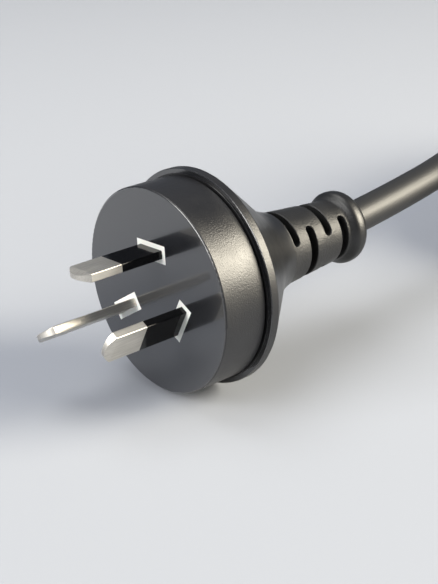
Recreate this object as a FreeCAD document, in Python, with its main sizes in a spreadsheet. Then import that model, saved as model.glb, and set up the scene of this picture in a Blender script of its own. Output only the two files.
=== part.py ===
"""Type I mains plug, moulded on its flexible cord.

Frame, in millimetres: the origin is the centre of the mating face, +X runs from that face along the plug
to the cord, and +Z is up as the plug lies on the rim of its flange. The pins point along -X.
"""
import FreeCAD, Part
import math
import os
import re

import Sketcher
from FreeCAD import Placement, Rotation, Vector

AXIS = Vector(1, 0, 0)
UP = Vector(0, 0, 1)
ORIGIN = Vector(0, 0, 0)
ALONG_AXIS = Rotation(UP, AXIS)

# Driving sizes: name, value in millimetres or degrees, meaning.
SIZES = [
    ("face_radius", 19.85, "front disc of the moulding"),
    ("face_edge", 0.35, "round on the rim of the mating face"),
    ("front_depth", 9.4, "depth of the front disc"),
    ("front_rear_edge", 0.2, "round on the rear rim of the front disc"),
    ("groove_width", 0.3, "shadow groove behind the front disc"),
    ("groove_depth", 0.85, "depth of the groove below the front disc"),
    ("step_height", 0.3, "low step at the foot of the flange, above the front disc"),
    ("step_width", 0.1, "width of that step"),
    ("flange_radius", 21.1, "finger flange, the widest ring and the one the plug lies on"),
    ("flange_width", 1.7, "flat width of the flange rim"),
    ("flange_front_edge", 0.15, "round on the front of the rim"),
    ("flange_rear_edge", 0.35, "round on the rear of the rim"),
    ("back_angle", 41.5, "slope of the back to the axis, degrees"),
    ("flare_round", 16.0, "hollow round from the back into the neck"),
    ("neck_radius", 7.9, "root of the strain relief, at the corner that the flare rounds"),
    ("body_length", 50.6, "mating face to the end of the strain relief"),
    ("relief_end_radius", 6.25, "strain relief where it meets its end bead"),
    ("bead_radius", 7.65, "crown of the end bead"),
    ("bead_length", 4.7, "length of the bead"),
    ("bead_rise", 1.3, "length of the bead's front slope"),
    ("bead_root_round", 1.0, "hollow round at the bead's foot"),
    ("bead_front_round", 1.5, "round at the front of the bead's crown"),
    ("bead_rear_round", 2.2, "round at the rear of the bead's crown"),
    ("slot_first", 30.0, "first row of flex slots, from the mating face"),
    ("slot_pitch", 4.8, "from one row of slots to the next"),
    ("slot_width", 1.95, "width of a slot along the cord"),
    ("slot_angle", 100.0, "between the centres of a slot's round ends, degrees"),
    ("slot_floor", 4.9, "radius of the slots' floor"),
    ("slot_edge", 0.2, "round on the slots' rims"),
    ("pin_roll", 4.9, "turn of the neutral pin from straight up, degrees"),
    ("slot_roll", 45.0, "turn of the first row of slots from the pins' plane of symmetry, degrees"),
    ("line_pin_radius", 7.92, "active and neutral pins, from the axis"),
    ("earth_pin_radius", 10.31, "earth pin, from the axis"),
    ("pin_width", 6.35, "broad side of a pin"),
    ("pin_thickness", 1.63, "narrow side of a pin"),
    ("pin_edge", 0.2, "round on a pin's long edges, and on its sleeve's"),
    ("line_pin_length", 17.06, "active and neutral pins, from the mating face"),
    ("earth_pin_length", 19.94, "earth pin, from the mating face"),
    ("tip_bulge", 1.6, "height of the round tip"),
    ("tip_bevel", 1.7, "lead-in bevel, along the broad face"),
    ("tip_bevel_depth", 0.4, "lead-in bevel at the end of the tip, through the thickness"),
    ("sleeve_length", 8.9, "insulating sleeve outside the mating face"),
    ("sleeve_root", 1.2, "insulating sleeve behind the mating face"),
    ("sleeve_wall", 0.4, "wall of the insulating sleeve"),
    ("blade_root", 6.6, "end of the flat blade behind the mating face"),
    ("crimp_radius", 1.7, "crimp barrel, outside"),
    ("crimp_length", 5.0, "crimp barrel behind the blade"),
    ("crimp_lap", 0.8, "crimp barrel over the end of the blade"),
    ("strand_radius", 0.68, "copper strands, and the bore that grips them"),
    ("strand_grip", 4.2, "length of strands in the barrel"),
    ("strand_bare", 0.8, "bare strands between the barrel and the insulation"),
    ("frame_margin_side", 0.85, "carrier showing past a pin's narrow sides"),
    ("frame_margin_face", 0.95, "carrier showing past a pin's broad faces"),
    ("carrier_front", 1.6, "front of the carrier's plate, behind the mating face"),
    ("carrier_rear", 6.0, "rear of the carrier's plate"),
    ("carrier_radius", 15.5, "carrier's plate"),
    ("core_radius", 1.3, "insulated core of the cord"),
    ("core_lay", 1.55, "cores' centres from the middle of the cord"),
    ("core_bend_in", 4.0, "straight core behind the strands"),
    ("core_bend_out", 3.5, "straight core before the sheath"),
    ("sheath_start", 29.0, "end of the cord's sheath inside the moulding"),
    ("cord_diameter", 7.0, "sheathed cord"),
    ("hank_near", 107.0, "near end of the put-away hank"),
    ("hank_side", 21.0, "side of the hank towards +Y"),
    ("hank_fold", 21.0, "bend of the hank's inner turns, at the middle of the cord"),
    ("hank_run", 40.0, "straight part of the hank"),
    ("hank_layers", 4.0, "layers of cord in the hank"),
    ("tie_thickness", 0.9, "band round the hank"),
    ("tie_width", 12.0, "width of the band"),
    ("tie_round", 3.0, "round on the band's corners"),
    ("core_end_bare", 6.0, "tinned wire past each core's end"),
]
SLOT_ROWS = 4
# The three pins stand a third of a turn apart, in degrees.
PIN_SPACING = 120.0
# An arc of a cord or core takes this share of the shorter run beside it.
ARC_SHARE = 0.45
# Edges this close together, in millimetres, are at the same place.
NEAR = 1e-4
# A tube's volume may differ from its section times its length by this share.
VOLUME_SLACK = 0.005

# Cord routes: hand-chosen points, straight runs joined by arcs. The lead's first point, on the axis at the
# end of the sheath, and the tail's height, on the hank's lowest layer, come from the sizes.
LEAD_ROUTE = [
    (47.0, 0.0, 0.0), (57.0, 0.1, 0.9), (70.0, 0.6, 2.3), (84.0, 2.0, 3.6),
    (113.0, 10.5, 4.1), (126.0, 14.9, 4.2), (134.0, 17.0, 4.3), (141.4, 17.5, 4.3),
]
TAIL_ROUTE = [
    (181.3, -31.5), (175.6, -31.5), (169.1, -30.8), (161.9, -28.8), (154.2, -25.2), (146.4, -20.7),
]
# Each core past the end of the tail: along the cord and across it, for each point of the core's route.
CORE_FAN = {
    "neutral": [(0.0, 0.0), (6.0, 0.0), (15.5, -0.9)],
    "earth": [(0.0, 0.0), (5.0, 0.0), (14.5, 3.0)],
    "active": [(0.0, 0.0), (5.0, 0.0), (14.0, -3.2)],
}

doc = FreeCAD.newDocument("type_i_plug")
sheet = doc.addObject("Spreadsheet::Sheet", "sizes")
for row, (alias, value, meaning) in enumerate(SIZES, start=1):
    sheet.set(f"A{row}", meaning)
    sheet.set(f"B{row}", str(value))
    sheet.setAlias(f"B{row}", alias)
doc.recompute()
NAMES = {alias for alias, _, _ in SIZES}
pieces = []


def size(expression):
    """The value of an expression in the sheet's names."""
    return float(sheet.evalExpression(expression))


def bind(thing, prop, expression):
    """Ties a property to an expression in the sheet's names."""
    def in_sheet(word):
        return f"sizes.{word[0]}" if word[0] in NAMES else word[0]
    thing.setExpression(prop, re.sub(r"[a-z_]+", in_sheet, expression))


def keep(thing, label):
    """Marks a finished sub-part; its label is its file's name."""
    thing.Label = label
    pieces.append(thing)
    return thing


def about_axis(angle, radius=0.0, spin=0.0):
    """The place at an angle from straight up towards +Y, at a radius from the axis, with its own spin."""
    turn = Rotation(AXIS, -angle)
    return Placement(turn.multVec(Vector(0, 0, radius)), turn.multiply(Rotation(AXIS, spin)))


def origin_feature(body, role):
    return next(feature for feature in body.Origin.OriginFeatures if feature.Role == role)


def place_point(sketch, geometry, point, across, up):
    """Fixes a sketch point by its two distances from the sketch's origin."""
    for kind, axis, expression in (("DistanceX", -2, across), ("DistanceY", -1, up)):
        if expression == "0":
            sketch.addConstraint(Sketcher.Constraint("PointOnObject", geometry, point, axis))
        else:
            rule = Sketcher.Constraint(kind, -1, 1, geometry, point, size(expression))
            bind(sketch, f"Constraints[{sketch.addConstraint(rule)}]", expression)


def new_sketch(body, name, role, offset=None):
    sketch = body.newObject("Sketcher::SketchObject", name)
    sketch.AttachmentSupport = (origin_feature(body, role), [""])
    sketch.MapMode = "FlatFace"
    if offset:
        bind(sketch, "AttachmentOffset.Base.z", offset)
    return sketch


def add_loop(sketch, corners, arc_after=None, arc_radius=None):
    """A closed loop of straight sides; the side after one corner may be an arc of a given radius."""
    points = [Vector(size(across), size(up), 0) for across, up in corners]
    first = sketch.GeometryCount
    count = len(points)
    for i, start in enumerate(points):
        end = points[(i + 1) % count]
        if i == arc_after:
            chord = end - start
            radius = size(arc_radius)
            bulge = radius - math.sqrt(radius**2 - (chord.Length / 2) ** 2)
            middle = (start + end) / 2 + chord.cross(UP).normalize() * bulge
            sketch.addGeometry(Part.Arc(start, middle, end), False)
        else:
            sketch.addGeometry(Part.LineSegment(start, end), False)
    for i, (across, up) in enumerate(corners):
        after_arc = arc_after is not None and (i - 1) % count == arc_after
        if i != arc_after:
            place_point(sketch, first + i, 1, across, up)
        if not after_arc:
            previous = first + (i - 1) % count
            sketch.addConstraint(Sketcher.Constraint("Coincident", previous, 2, first + i, 1))
    if arc_after is not None:
        arc = first + arc_after
        sketch.addConstraint(Sketcher.Constraint("Coincident", arc, 2, first + (arc_after + 1) % count, 1))
        place_point(sketch, arc, 1, *corners[arc_after])
        rule = Sketcher.Constraint("Radius", arc, size(arc_radius))
        bind(sketch, f"Constraints[{sketch.addConstraint(rule)}]", arc_radius)


def add_circle(sketch, radius):
    index = sketch.addGeometry(Part.Circle(ORIGIN, UP, size(radius)), False)
    sketch.addConstraint(Sketcher.Constraint("Coincident", index, 3, -1, 1))
    rule = Sketcher.Constraint("Radius", index, size(radius))
    bind(sketch, f"Constraints[{sketch.addConstraint(rule)}]", radius)


def box_corners(left, right, half):
    return [(left, f"-({half})"), (right, f"-({half})"), (right, half), (left, half)]


def pad(body, sketch, length, symmetric=False, name="Pad", kind="PartDesign::Pad"):
    feature = body.newObject(kind, name)
    feature.Profile = sketch
    feature.SideType = "Symmetric" if symmetric else "One side"
    bind(feature, "Length", length)
    doc.recompute()
    return feature


def ring_edges(feature, along, radius):
    """The names of a turned shape's edges at a distance along the axis and a radius."""
    names = []
    for number, edge in enumerate(feature.Shape.Edges, start=1):
        curve = edge.Curve
        if not isinstance(curve, Part.Circle):
            continue
        if abs(curve.Center.x - along) < NEAR and abs(curve.Radius - radius) < NEAR:
            names.append(f"Edge{number}")
    return names


def round_rim(body, along, radius, fillet):
    """Rounds one rim of a turned body."""
    base = body.Tip
    feature = body.newObject("PartDesign::Fillet", f"{fillet}_fillet")
    feature.Base = (base, ring_edges(base, size(along), size(radius)))
    bind(feature, "Radius", fillet)
    doc.recompute()


def round_long_edges(body, name):
    """Rounds the four outer edges that run along a pin or its sleeve."""
    base = body.Tip
    corner = (size("pin_width / 2"), size("pin_thickness / 2"))
    names = []
    for number, edge in enumerate(base.Shape.Edges, start=1):
        on_corner = all(math.dist((abs(end.Y), abs(end.Z)), corner) < NEAR for end in edge.Vertexes)
        if on_corner and edge.BoundBox.XLength > NEAR:
            names.append(f"Edge{number}")
    feature = body.newObject("PartDesign::Fillet", f"{name}_long_edges")
    feature.Base = (base, names)
    bind(feature, "Radius", "pin_edge")
    doc.recompute()
    return feature


def primitive(kind, name, placement, **sizes):
    thing = doc.addObject(f"Part::{kind}", name)
    for prop, expression in sizes.items():
        bind(thing, prop, expression)
    thing.Placement = placement
    return thing


def joined(name, things):
    fuse = doc.addObject("Part::MultiFuse", name)
    fuse.Shapes = things
    return fuse


def without(name, base, tool):
    cut = doc.addObject("Part::Cut", name)
    cut.Base = base
    cut.Tool = tool
    return cut


def turned_moulding():
    """The moulding before its slots and inner pieces are taken out: one turned profile with rounded rims."""
    groove = "front_depth + groove_width"
    flange = f"{groove} + step_width"
    rear = f"{flange} + flange_width"
    corner = f"{rear} + (flange_radius - neck_radius) / tan(back_angle * 1deg)"
    bead = "body_length - bead_length"
    step = "face_radius + step_height"
    sunk = "face_radius - groove_depth"
    body = doc.addObject("PartDesign::Body", "turned_moulding")
    sketch = new_sketch(body, "moulding_profile", "XZ_Plane")
    add_loop(sketch, [
        ("0", "0"),
        ("0", "face_radius"),
        ("front_depth", "face_radius"),
        ("front_depth", sunk),
        (groove, sunk),
        (groove, step),
        (flange, step),
        (flange, "flange_radius"),
        (rear, "flange_radius"),
        (corner, "neck_radius"),
        (bead, "relief_end_radius"),
        (f"{bead} + bead_rise", "bead_radius"),
        ("body_length", "bead_radius"),
        ("body_length", "0"),
    ])
    turn = body.newObject("PartDesign::Revolution", "moulding_turn")
    turn.Profile = sketch
    turn.ReferenceAxis = (origin_feature(body, "X_Axis"), [""])
    turn.Angle = 360
    doc.recompute()
    round_rim(body, corner, "neck_radius", "flare_round")
    round_rim(body, bead, "relief_end_radius", "bead_root_round")
    round_rim(body, f"{bead} + bead_rise", "bead_radius", "bead_front_round")
    round_rim(body, "body_length", "bead_radius", "bead_rear_round")
    round_rim(body, rear, "flange_radius", "flange_rear_edge")
    round_rim(body, flange, "flange_radius", "flange_front_edge")
    round_rim(body, "front_depth", "face_radius", "front_rear_edge")
    round_rim(body, "0", "face_radius", "face_edge")
    return body


def flex_slots():
    """The slots' cutter: two opposite slots in each row, and every second row a quarter turn on."""
    reach = "flange_radius"
    parts = []
    for row in range(SLOT_ROWS):
        along = size("slot_first") + row * size("slot_pitch")
        for side in (0, 180):
            middle = size("pin_roll + slot_roll") - PIN_SPACING / 2 + 90 * row + side
            half = size("slot_angle") / 2
            sector = about_axis(middle - 180 + half).multiply(Placement(ORIGIN, ALONG_AXIS))
            sector.Base = Vector(along - size("slot_width") / 2, 0, 0)
            parts.append(primitive("Cylinder", "slot_arc", sector, Radius=reach, Height="slot_width",
                                   Angle="slot_angle"))
            for end in (middle - half, middle + half):
                place = about_axis(end)
                place.Base = Vector(along, 0, 0)
                parts.append(primitive("Cylinder", "slot_end", place, Radius="slot_width / 2", Height=reach))
    floor = primitive("Cylinder", "slot_floor_core", Placement(ORIGIN, ALONG_AXIS), Radius="slot_floor",
                      Height="body_length")
    return without("flex_slots", joined("slot_blanks", parts), floor)


def round_slot_rims(slotted):
    """Rounds the slots' edges on the outside of the strain relief."""
    half = size("slot_width / 2")
    floor = size("slot_floor")
    rows = [size("slot_first") + row * size("slot_pitch") for row in range(SLOT_ROWS)]
    rims = []
    for number, edge in enumerate(slotted.Shape.Edges, start=1):
        box = edge.BoundBox
        row = min(rows, key=lambda along: abs(along - box.Center.x))
        in_row = box.XMin > row - half - NEAR and box.XMax < row + half + NEAR
        on_outside = all(math.hypot(end.Y, end.Z) > floor + NEAR for end in edge.Vertexes)
        ring_of_profile = box.XLength < NEAR and abs(abs(box.XMin - row) - half) > NEAR
        if in_row and on_outside and not ring_of_profile:
            rims.append((number, size("slot_edge"), size("slot_edge")))
    rounded = doc.addObject("Part::Fillet", "rounded_slots")
    rounded.Base = slotted
    rounded.Edges = rims
    return rounded


def flat_pin(label, placement, length, sleeved):
    """A flat pin in one piece: round bevelled tip, waist under the sleeve, blade root and crimp barrel."""
    body = doc.addObject("PartDesign::Body", label)
    half = "pin_width / 2"
    tip_radius = f"(({half})^2 + tip_bulge^2) / (2 * tip_bulge)"
    shoulder = "-sleeve_length" if sleeved else "blade_root"
    sketch = new_sketch(body, f"{label}_tip_outline", "XY_Plane")
    corners = [(f"tip_bulge - {length}", half), (f"tip_bulge - {length}", f"-{half}")]
    corners += [(shoulder, f"-{half}"), (shoulder, half)]
    add_loop(sketch, corners, arc_after=0, arc_radius=tip_radius)
    pad(body, sketch, "pin_thickness", symmetric=True, name=f"{label}_tip")
    tip = round_long_edges(body, label)
    bevel = new_sketch(body, f"{label}_bevel_outline", "XZ_Plane")
    for side in ("", "-"):
        face = f"{side}pin_thickness / 2"
        sunk = f"{side}(pin_thickness / 2 - 2 * tip_bevel_depth)"
        past = f"-({length} + tip_bevel)"
        add_loop(bevel, [(f"tip_bevel - {length}", face), (past, face), (past, sunk)])
    pad(body, bevel, "2 * pin_width", symmetric=True, name=f"{label}_bevel", kind="PartDesign::Pocket")
    if tip.Shape.Volume - body.Tip.Shape.Volume < NEAR:
        raise RuntimeError(f"{label}: the tip bevel did not cut")
    if sleeved:
        waist = new_sketch(body, f"{label}_waist_outline", "XY_Plane")
        add_loop(waist, box_corners("-sleeve_length", "sleeve_root", f"{half} - sleeve_wall"))
        pad(body, waist, "pin_thickness - 2 * sleeve_wall", symmetric=True, name=f"{label}_waist")
        root = new_sketch(body, f"{label}_root_outline", "XY_Plane")
        add_loop(root, box_corners("sleeve_root", "blade_root", half))
        pad(body, root, "pin_thickness", symmetric=True, name=f"{label}_root")
    barrel = new_sketch(body, f"{label}_barrel_outline", "YZ_Plane", "blade_root - crimp_lap")
    add_circle(barrel, "crimp_radius")
    solid = pad(body, barrel, "crimp_length + crimp_lap", name=f"{label}_barrel")
    bore = new_sketch(body, f"{label}_bore_outline", "YZ_Plane", "blade_root + crimp_length")
    add_circle(bore, "strand_radius")
    hole = pad(body, bore, "strand_grip", name=f"{label}_bore", kind="PartDesign::Pocket")
    wanted = math.pi * size("strand_radius") ** 2 * size("strand_grip")
    if abs(solid.Shape.Volume - hole.Shape.Volume - wanted) > VOLUME_SLACK * wanted:
        raise RuntimeError(f"{label}: the crimp bore did not cut")
    body.Placement = placement
    return keep(body, label)


def pin_sleeve(label, placement):
    """The insulating sleeve, flush with the bare tip and gripping the pin's waist."""
    body = doc.addObject("PartDesign::Body", label)
    sketch = new_sketch(body, f"{label}_section", "YZ_Plane", "-sleeve_length")
    for inset in ("0", "sleeve_wall"):
        across = f"pin_width / 2 - {inset}"
        up = f"pin_thickness / 2 - {inset}"
        add_loop(sketch, box_corners(f"-({across})", across, up))
    pad(body, sketch, "sleeve_length + sleeve_root", name=f"{label}_pad")
    round_long_edges(body, label)
    body.Placement = placement
    return keep(body, label)


def carrier_blank(places):
    """The pin carrier before the pins take their room: a round plate with a frame to the face at each pin."""
    plate_place = Placement(AXIS * size("carrier_front"), ALONG_AXIS)
    parts = [primitive("Cylinder", "carrier_plate", plate_place, Radius="carrier_radius",
                       Height="carrier_rear - carrier_front")]
    width = "pin_width + 2 * frame_margin_side"
    thickness = "pin_thickness + 2 * frame_margin_face"
    for place in places:
        corner = Placement(Vector(0, -size(width) / 2, -size(thickness) / 2), Rotation())
        parts.append(primitive("Box", "carrier_frame", place.multiply(corner), Length="carrier_rear",
                               Width=width, Height=thickness))
    return joined("carrier_blank", parts)


def tube(label, points, radius):
    """A round solid along straight runs joined by arcs as large as the runs allow."""
    edges, radii = [], []
    start = points[0]
    for before, here, after in zip(points, points[1:], points[2:]):
        way_in = (here - before).normalize()
        way_out = (after - here).normalize()
        turn = way_in.getAngle(way_out)
        reach = ARC_SHARE * min((here - before).Length, (after - here).Length)
        bend = reach / math.tan(turn / 2)
        inward = (way_out - way_in).normalize()
        middle = here + inward * (bend / math.cos(turn / 2) - bend)
        edges.append(Part.LineSegment(start, here - way_in * reach).toShape())
        edges.append(Part.Arc(here - way_in * reach, middle, here + way_out * reach).toShape())
        start = here + way_out * reach
        radii.append(round(bend, 1))
    edges.append(Part.LineSegment(start, points[-1]).toShape())
    path = Part.Wire(edges)
    section = Part.Wire(Part.makeCircle(radius, points[0], points[1] - points[0]))
    solid = path.makePipeShell([section], True, True)
    wanted = math.pi * radius**2 * path.Length
    if abs(solid.Volume - wanted) > VOLUME_SLACK * wanted:
        raise RuntimeError(f"{label}: volume {solid.Volume:.1f}, and section times length is {wanted:.1f}")
    print(f"{label}: {path.Length:.1f} mm along its middle, bend radii {radii} mm")
    thing = doc.addObject("Part::Feature", label)
    thing.Shape = solid
    return thing


def plug_wiring(name, angle, radius):
    """One conductor inside the moulding: bare strands in the crimp barrel, then the insulated core."""
    crimp_end = size("blade_root + crimp_length")
    place = about_axis(angle, radius)
    seat = Placement(AXIS * (crimp_end - size("strand_grip")), ALONG_AXIS)
    strands = primitive("Cylinder", f"{name}_strands", place.multiply(seat), Radius="strand_radius",
                        Height="strand_grip + strand_bare")
    start = crimp_end + size("strand_bare")
    end = size("sheath_start")
    inward = size("core_lay") - radius
    route = [(start, 0, 0), (start + size("core_bend_in"), 0, 0), (end - size("core_bend_out"), 0, inward),
             (end, 0, inward)]
    core = tube(f"{name}_core", [place.multVec(Vector(*point)) for point in route], size("core_radius"))
    return [keep(strands, f"{name}_strands"), keep(core, f"{name}_core")]


def put_away_hank():
    """The outer shape of the folded cord: a racetrack ring, two turns wide."""
    outer = "hank_fold + 1.5 * cord_diameter"
    inner = "hank_fold - 0.5 * cord_diameter"
    bottom = size("tie_thickness - flange_radius")
    centre = Vector(size(f"hank_near + {outer}"), size(f"hank_side - ({outer})"), bottom)
    height = "hank_layers * cord_diameter"
    outlines = []
    for name, half in (("hank_outside", outer), ("hank_inside", inner)):
        far = centre + AXIS * size("hank_run")
        low = centre - Vector(0, size(half), 0)
        ends = [primitive("Cylinder", f"{name}_fold", Placement(at, Rotation()), Radius=half, Height=height)
                for at in (centre, far)]
        middle = primitive("Box", f"{name}_run", Placement(low, Rotation()), Length="hank_run",
                           Width=f"2 * ({half})", Height=height)
        outlines.append(joined(name, ends + [middle]))
    hank = keep(without("cord_hank", *outlines), "cord_hank")
    middle = centre + AXIS * size("hank_run") / 2
    return hank, middle


def hank_band(middle):
    """The band round the waist of the hank: a closed rectangle with round corners."""
    across = "2 * hank_fold + 3 * cord_diameter"
    up = "hank_layers * cord_diameter"
    wall = size("tie_thickness")
    inner = middle - Vector(size("tie_width") / 2, size(across) / 2, 0)
    outer = inner - Vector(0, wall, wall)
    inside = primitive("Box", "band_inside", Placement(inner, Rotation()), Length="tie_width", Width=across,
                       Height=up)
    outside = primitive("Box", "band_outside", Placement(outer, Rotation()), Length="tie_width",
                        Width=f"{across} + 2 * tie_thickness", Height=f"{up} + 2 * tie_thickness")
    doc.recompute()
    rounded = doc.addObject("Part::Fillet", "band_rounded")
    rounded.Base = outside
    corner = size("tie_round")
    edges = enumerate(outside.Shape.Edges, start=1)
    rounded.Edges = [(number, corner, corner) for number, edge in edges if edge.BoundBox.XLength > NEAR]
    return rounded, inside


def stripped_end(name, turn, tail):
    """One core past the end of the tail's sheath, fanned out, and its tinned wire."""
    end = tail[-1]
    ahead = (end - tail[-2]).normalize()
    across = UP.cross(ahead)
    lay = size("core_lay")
    offset = across * (lay * math.sin(math.radians(turn))) + UP * (lay * math.cos(math.radians(turn)))
    points = [end + offset + ahead * run + across * aside for run, aside in CORE_FAN[name]]
    core = tube(f"{name}_core_end", points, size("core_radius"))
    way = (points[-1] - points[-2]).normalize()
    wire = primitive("Cylinder", f"{name}_wire_end", Placement(points[-1], Rotation(UP, way)),
                     Radius="strand_radius", Height="core_end_bare")
    keep(core, f"{name}_core_end")
    keep(wire, f"{name}_wire_end")


neutral_angle = size("pin_roll")
PINS = {
    "neutral": (neutral_angle, size("line_pin_radius"), 0),
    "earth": (neutral_angle + PIN_SPACING, size("earth_pin_radius"), 90),
    "active": (neutral_angle + 2 * PIN_SPACING, size("line_pin_radius"), 0),
}

places = {name: about_axis(*where) for name, where in PINS.items()}
pins = []
for name, place in places.items():
    sleeved = name != "earth"
    length = "line_pin_length" if sleeved else "earth_pin_length"
    pins.append(flat_pin(f"{name}_pin", place, length, sleeved))
    if sleeved:
        pins.append(pin_sleeve(f"{name}_pin_sleeve", place))

carrier = carrier_blank(places.values())
keep(without("pin_carrier", carrier, joined("pin_room", pins)), "pin_carrier")

wiring = []
for name, (angle, radius, _) in PINS.items():
    wiring += plug_wiring(name, angle, radius)

hank, hank_middle = put_away_hank()
lead = [AXIS * size("sheath_start")] + [Vector(*point) for point in LEAD_ROUTE]
lead_run = tube("lead_run", lead, size("cord_diameter / 2"))
lowest_layer = size("tie_thickness - flange_radius + cord_diameter / 2")
tail = [Vector(along, across, lowest_layer) for along, across in TAIL_ROUTE]
tail_run = tube("tail_run", tail, size("cord_diameter / 2"))
keep(without("cord_lead", lead_run, hank), "cord_lead")
keep(without("cord_tail", tail_run, hank), "cord_tail")
keep(without("hank_tie", *hank_band(hank_middle)), "hank_tie")
for number, name in enumerate(PINS):
    stripped_end(name, PIN_SPACING * number, tail)

slotted = without("slotted_moulding", turned_moulding(), flex_slots())
doc.recompute()
moulding = round_slot_rims(slotted)
keep(without("plug_body", moulding, joined("inner_pieces", pins + wiring + [carrier, lead_run])), "plug_body")
doc.recompute()

for thing in doc.Objects:
    if {"Invalid", "Error"} & set(thing.State):
        raise RuntimeError(f"{thing.Label} failed: {thing.State}")
if slotted.Base.Shape.Volume - slotted.Shape.Volume < NEAR:
    raise RuntimeError("the flex slots did not cut")
if slotted.Shape.Volume - moulding.Shape.Volume < NEAR:
    raise RuntimeError("the slots' rims were not rounded")
os.makedirs("parts", exist_ok=True)
for piece in pieces:
    if piece.Shape.isNull() or not piece.Shape.isValid():
        raise RuntimeError(f"{piece.Label} has no valid shape")
for piece in pieces:
    piece.Shape.exportStep(f"parts/{piece.Label}.step")
    print(f"{piece.Label}: {len(piece.Shape.Solids)} solid, {piece.Shape.Volume:.1f} mm3")
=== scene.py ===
"""Type I mains plug on its cord: its finishes, the flexible cord with its stripped end, and a studio.

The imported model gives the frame: the origin is the centre of the mating face, +X runs along the plug to
the cord and +Z is up as the plug lies on its flange. Sizes are in metres, unless a name ends in _mm.
"""
import logging
import math
from abc import ABC, abstractmethod
from dataclasses import dataclass, field
from enum import Enum
from typing import Any, ClassVar, Optional, Sequence

import bmesh
import bpy
from mathutils import Matrix, Vector


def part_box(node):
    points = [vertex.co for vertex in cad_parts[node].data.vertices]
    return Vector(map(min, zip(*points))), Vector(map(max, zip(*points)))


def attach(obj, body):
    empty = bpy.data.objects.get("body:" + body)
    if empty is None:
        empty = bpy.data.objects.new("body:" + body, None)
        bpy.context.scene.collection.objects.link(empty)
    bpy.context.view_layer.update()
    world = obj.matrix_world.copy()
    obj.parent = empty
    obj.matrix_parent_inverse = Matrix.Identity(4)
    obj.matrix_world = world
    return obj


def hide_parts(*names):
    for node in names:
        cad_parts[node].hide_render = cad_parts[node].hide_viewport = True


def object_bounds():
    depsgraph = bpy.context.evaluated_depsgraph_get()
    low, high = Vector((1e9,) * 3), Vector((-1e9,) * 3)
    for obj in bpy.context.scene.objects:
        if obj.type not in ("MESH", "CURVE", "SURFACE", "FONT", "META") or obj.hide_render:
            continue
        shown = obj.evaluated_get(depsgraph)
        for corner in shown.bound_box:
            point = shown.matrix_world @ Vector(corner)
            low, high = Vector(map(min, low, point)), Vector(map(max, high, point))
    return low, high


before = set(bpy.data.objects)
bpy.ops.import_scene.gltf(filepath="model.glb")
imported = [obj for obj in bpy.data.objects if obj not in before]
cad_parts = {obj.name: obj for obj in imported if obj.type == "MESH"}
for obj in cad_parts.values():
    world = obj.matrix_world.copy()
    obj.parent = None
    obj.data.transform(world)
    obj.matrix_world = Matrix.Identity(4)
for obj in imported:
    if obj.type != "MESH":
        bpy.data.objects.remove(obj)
CAD_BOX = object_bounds()

MM = 0.001
BODY = "root"
UP = Vector((0.0, 0.0, 1.0))
AXIS = Vector((1.0, 0.0, 0.0))
PVC_IOR = 1.53
# Most values of a noise texture lie between these two.
NOISE_LOW, NOISE_HIGH = 0.3, 0.7
# A wave texture of scale 1 repeats about every such length.
WAVE_REPEAT = math.tau / 20

log = logging.getLogger("type_i_plug")


class Conductor(Enum):
    """The three conductors, in the order in which they lie round the plug and the cord."""

    NEUTRAL = "neutral"
    EARTH = "earth"
    ACTIVE = "active"


def linear(colour: str) -> tuple[float, float, float, float]:
    """Turns an sRGB hex colour to linear light.

    Args:
        colour: the colour as #RRGGBB.

    Returns:
        Red, green, blue and an alpha of 1.
    """
    parts = [int(colour[i : i + 2], 16) / 255 for i in (1, 3, 5)]
    bright = [((p + 0.055) / 1.055) ** 2.4 if p > 0.04045 else p / 12.92 for p in parts]
    return (*bright, 1.0)


def per_metre(size_mm: float) -> float:
    """The texture scale at which a pattern repeats about every size_mm millimetres."""
    return 1 / (size_mm * MM)


def add_node(
    tree: bpy.types.NodeTree, kind: str, inputs: Optional[dict[Any, Any]] = None, **settings: Any
) -> bpy.types.Node:
    """Adds a node to a tree, with its settings and links.

    Args:
        tree: the tree that gets the node.
        kind: the node's type.
        inputs: for its input sockets, by name or number, a value or the output socket to link.
        settings: the node's own properties.

    Returns:
        The node.
    """
    node = tree.nodes.new(kind)
    for name, value in settings.items():
        setattr(node, name, value)
    for socket, value in (inputs or {}).items():
        if isinstance(value, bpy.types.NodeSocket):
            tree.links.new(value, node.inputs[socket])
        else:
            node.inputs[socket].default_value = value
    return node


@dataclass(frozen=True)
class Finish(ABC):
    """A material of the object: what it is and how its surface was made."""

    name: str

    def material(self) -> bpy.types.Material:
        """Makes the material the first time, and hands back the same one after that.

        Returns:
            The Blender material.
        """
        made = bpy.data.materials.get(self.name)
        if made is None:
            made = bpy.data.materials.new(self.name)
            made.use_nodes = True
            tree = made.node_tree
            tree.nodes.clear()
            add_node(tree, "ShaderNodeOutputMaterial", {"Surface": self.surface(tree)})
        return made

    @abstractmethod
    def surface(self, tree: bpy.types.NodeTree) -> bpy.types.NodeSocket:
        """Builds the shader in a tree and gives its output."""


@dataclass(frozen=True)
class MouldSurface:
    """One surface of the mould's steel, from a distance along the plug to the next one's start."""

    start_mm: float
    blend_mm: float
    colour: str
    roughness: float
    grain_depth_mm: float
    grain_mm: float = 0.24
    polish: float = 0.0

    def numbers(self) -> tuple[float, float, float, float]:
        """Its roughness, the depth and the texture scale of its grain, and its polish."""
        return self.roughness, self.grain_depth_mm, per_metre(self.grain_mm), self.polish


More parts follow.
